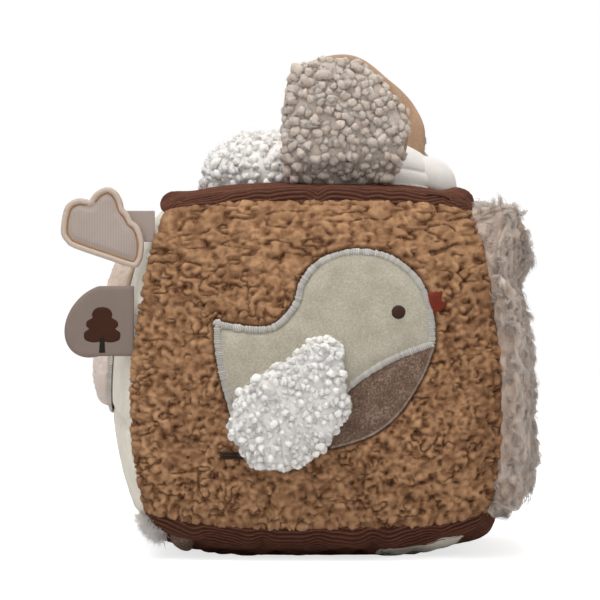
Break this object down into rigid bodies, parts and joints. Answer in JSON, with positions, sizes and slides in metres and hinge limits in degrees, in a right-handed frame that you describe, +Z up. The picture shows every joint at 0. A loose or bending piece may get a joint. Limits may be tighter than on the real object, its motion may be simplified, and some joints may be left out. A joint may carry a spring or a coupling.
{
  "type": "soft fabric block",
  "caption": "Stuffed fabric cube with a bird patch and loose wing in front, a plush animal head with two ears on top, and two sewn tags.",
  "frame": {"origin": "middle of the small flat that the bottom panel rests on", "axes": "+Z up, +X to the right as the front panel is seen, +Y from the front panel to the back panel"},
  "size_m": [0.1889, 0.1611, 0.1969],
  "materials": {
    "teddy_fleece": "matte, tan brown teddy fleece in short curls",
    "long_pile_fur": "matte, taupe long pile fur",
    "cream_velour": "matte, short pile cream velour",
    "brown_corduroy": "matte, dark brown fine corduroy",
    "taupe_velour": "matte, short pile taupe velour",
    "white_curl_pile": "matte, white curly pile",
    "grey_curl_pile": "matte, grey white curly pile",
    "tan_velour": "matte, smooth tan velour",
    "grey_thread": "satin, pale grey embroidery thread",
    "dark_thread": "satin, dark brown embroidery thread",
    "red_thread": "satin, brick red embroidery thread",
    "taupe_ribbon": "matte, woven taupe ribbon",
    "batting": "matte, white polyester filling",
    "rattle_plastic": "gloss, moulded",
    "crinkle_film": "gloss, thin film"
  },
  "bodies": {
    "block": {"front_panel": "teddy_fleece", "back_panel": "cream_velour", "left_panel": "cream_velour", "right_panel": "long_pile_fur", "top_panel": "brown_corduroy", "bottom_panel": "brown_corduroy", "filling_lower": "batting", "filling_upper": "batting", "rattle_shell_lower": "rattle_plastic", "rattle_shell_upper": "rattle_plastic", "bird_body": "cream_velour", "bird_body_edging": "grey_thread", "bird_belly": "taupe_velour", "bird_belly_edging": "taupe_velour", "bird_eye": "dark_thread", "bird_beak": "red_thread", "bird_foot": "dark_thread", "head_crown": "white_curl_pile", "head_batting": "batting", "head_face": "cream_velour", "head_muzzle": "cream_velour", "head_edging_front": "grey_thread", "head_edging_rear": "grey_thread", "head_eye_front": "dark_thread", "head_eye_rear": "dark_thread", "head_nose": "dark_thread", "mushroom_cap": "tan_velour", "mushroom_stem": "white_curl_pile", "mushroom_edging": "grey_thread", "base_patch": "cream_velour", "base_patch_edging": "grey_thread", "velvet_tab": "taupe_velour", "tail_tuft": "long_pile_fur", "seam_thread": "cream_velour"},
    "wing": {"wing_backing": "cream_velour", "wing_film": "crinkle_film", "wing_pile": "white_curl_pile"},
    "front_ear": {"front_ear_curl": "grey_curl_pile", "front_ear_batting": "batting", "front_ear_lining": "tan_velour"},
    "rear_ear": {"rear_ear_curl": "grey_curl_pile", "rear_ear_batting": "batting", "rear_ear_lining": "tan_velour"},
    "cloud_tag": {"cloud_ribbon": "taupe_ribbon", "cloud_back": "taupe_ribbon", "cloud_film": "crinkle_film", "cloud_front": "taupe_ribbon", "cloud_stitching": "tan_velour"},
    "tree_tag": {"tree_tag_front": "taupe_ribbon", "tree_tag_back": "taupe_ribbon"},
    "rattle_ball": {"rattle_ball": "rattle_plastic"}
  },
  "joints": [
    {"name": "wing_lift", "type": "hinge", "parent": "block", "child": "wing", "pos_m": [0.0042, -0.07722, 0.0866], "axis": [-1, 0, 0], "range_deg": [0, 130]},
    {"name": "front_ear_fold", "type": "hinge", "parent": "block", "child": "front_ear", "pos_m": [0.011, -0.039, 0.14564], "axis": [1, 0, 0], "range_deg": [0, 45], "stiffness_Nm_per_rad": 0.03},
    {"name": "rear_ear_fold", "type": "hinge", "parent": "block", "child": "rear_ear", "pos_m": [0.021, 0.039, 0.14544], "axis": [-1, 0, 0], "range_deg": [0, 45], "stiffness_Nm_per_rad": 0.03},
    {"name": "cloud_tag_bend", "type": "hinge", "parent": "block", "child": "cloud_tag", "pos_m": [-0.06304, -0.05978, 0.129], "axis": [0, 0, 1], "range_deg": [-50, 50], "stiffness_Nm_per_rad": 0.004},
    {"name": "tree_tag_bend", "type": "hinge", "parent": "block", "child": "tree_tag", "pos_m": [-0.07076, -0.06453, 0.0924], "axis": [0, 0, 1], "range_deg": [-45, 45], "stiffness_Nm_per_rad": 0.004},
    {"name": "rattle_slide", "type": "slide", "parent": "block", "child": "rattle_ball", "axis": [0, 0, 1], "range_m": [0, 0.021]}
  ]
}
